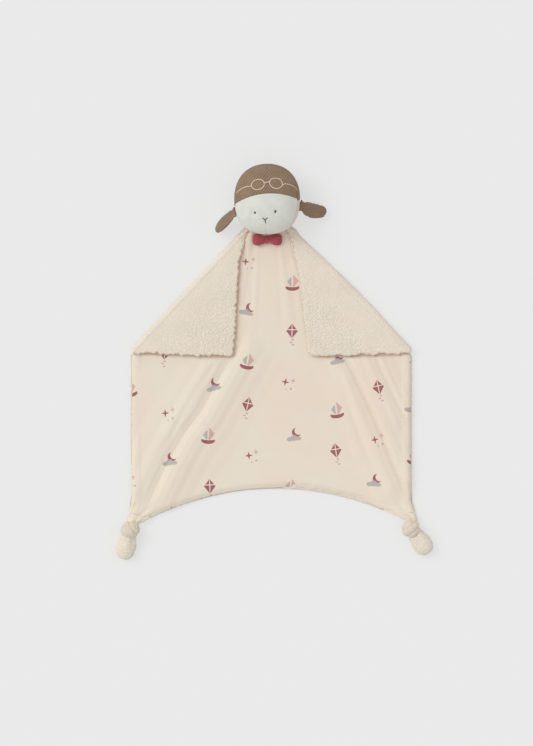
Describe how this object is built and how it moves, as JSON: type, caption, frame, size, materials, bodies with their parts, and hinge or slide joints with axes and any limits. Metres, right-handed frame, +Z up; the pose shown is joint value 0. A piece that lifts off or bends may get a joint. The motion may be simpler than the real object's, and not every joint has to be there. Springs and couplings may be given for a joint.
{
  "type": "lovey",
  "caption": "Baby's lovey: stuffed lamb head with ribbed cap and bow tie on a sherpa-backed jersey blanket with folded and knotted corners.",
  "frame": {"origin": "on the underside of the blanket, on the middle line between its side edges; the toy lies on its back with its face up", "axes": "+X to the right in the front view, +Y from the knotted corners towards the top of the head, +Z up out of the face"},
  "size_m": [0.3486, 0.4347, 0.0556],
  "materials": {
    "sherpa": "matte",
    "printed_jersey": "matte",
    "face_velour": "matte",
    "nape_jersey": "matte",
    "cap_corduroy": "matte",
    "ear_corduroy": "matte",
    "burgundy_rib": "matte",
    "pale_thread": "satin",
    "dark_thread": "satin",
    "stuffing": "matte"
  },
  "bodies": {
    "blanket": {"blanket_back_sherpa": "sherpa", "blanket_front_jersey": "printed_jersey", "bow_left_lobe": "burgundy_rib", "bow_right_lobe": "burgundy_rib", "bow_binding": "burgundy_rib"},
    "head": {"face_panel": "face_velour", "nape_panel": "nape_jersey", "cap_left_panel": "cap_corduroy", "cap_right_panel": "cap_corduroy", "cap_back_panel": "cap_corduroy", "head_stuffing": "stuffing", "left_eye": "dark_thread", "right_eye": "dark_thread", "mouth": "dark_thread", "goggle_left_lens": "pale_thread", "goggle_right_lens": "pale_thread", "goggle_bridge": "pale_thread", "goggle_left_strap": "pale_thread", "goggle_right_strap": "pale_thread"},
    "left_ear": {"left_ear_front": "ear_corduroy", "left_ear_back": "ear_corduroy"},
    "left_flap": {"left_flap_jersey": "printed_jersey", "left_flap_sherpa": "sherpa"},
    "left_knotted_corner": {"left_knot": "sherpa", "left_knot_tail": "sherpa"},
    "right_ear": {"right_ear_front": "ear_corduroy", "right_ear_back": "ear_corduroy"},
    "right_flap": {"right_flap_jersey": "printed_jersey", "right_flap_sherpa": "sherpa"},
    "right_knotted_corner": {"right_knot": "sherpa", "right_knot_tail": "sherpa"}
  },
  "joints": [
    {"name": "left_flap_fold", "type": "hinge", "parent": "blanket", "child": "left_flap", "pos_m": [-0.0914, 0.0695, 0.00545], "axis": [-0.684, -0.7295, 0], "range_deg": [0, 180]},
    {"name": "right_flap_fold", "type": "hinge", "parent": "blanket", "child": "right_flap", "pos_m": [0.0871, 0.0695, 0.00545], "axis": [-0.7094, 0.7048, 0], "range_deg": [0, 180]},
    {"name": "head_nod", "type": "hinge", "parent": "blanket", "child": "head", "pos_m": [-0.0043, 0.148, 0.00545], "axis": [1, 0, 0], "range_deg": [0, 18]},
    {"name": "left_ear_flop", "type": "hinge", "parent": "head", "child": "left_ear", "pos_m": [-0.0399, 0.1589, 0.0245], "axis": [-0.0933, 0.7018, -0.7062], "range_deg": [0, 40]},
    {"name": "right_ear_flop", "type": "hinge", "parent": "head", "child": "right_ear", "pos_m": [0.0325, 0.1669, 0.0245], "axis": [-0.243, -0.9659, -0.0891], "range_deg": [0, 40]},
    {"name": "left_knot_lift", "type": "hinge", "parent": "blanket", "child": "left_knotted_corner", "pos_m": [-0.14941, -0.17437, 0.00545], "axis": [-0.9371, 0.3489, 0], "range_deg": [0, 60]},
    {"name": "right_knot_lift", "type": "hinge", "parent": "blanket", "child": "right_knotted_corner", "pos_m": [0.15121, -0.17272, 0.00545], "axis": [-0.9998, 0.02, 0], "range_deg": [0, 60]}
  ]
}
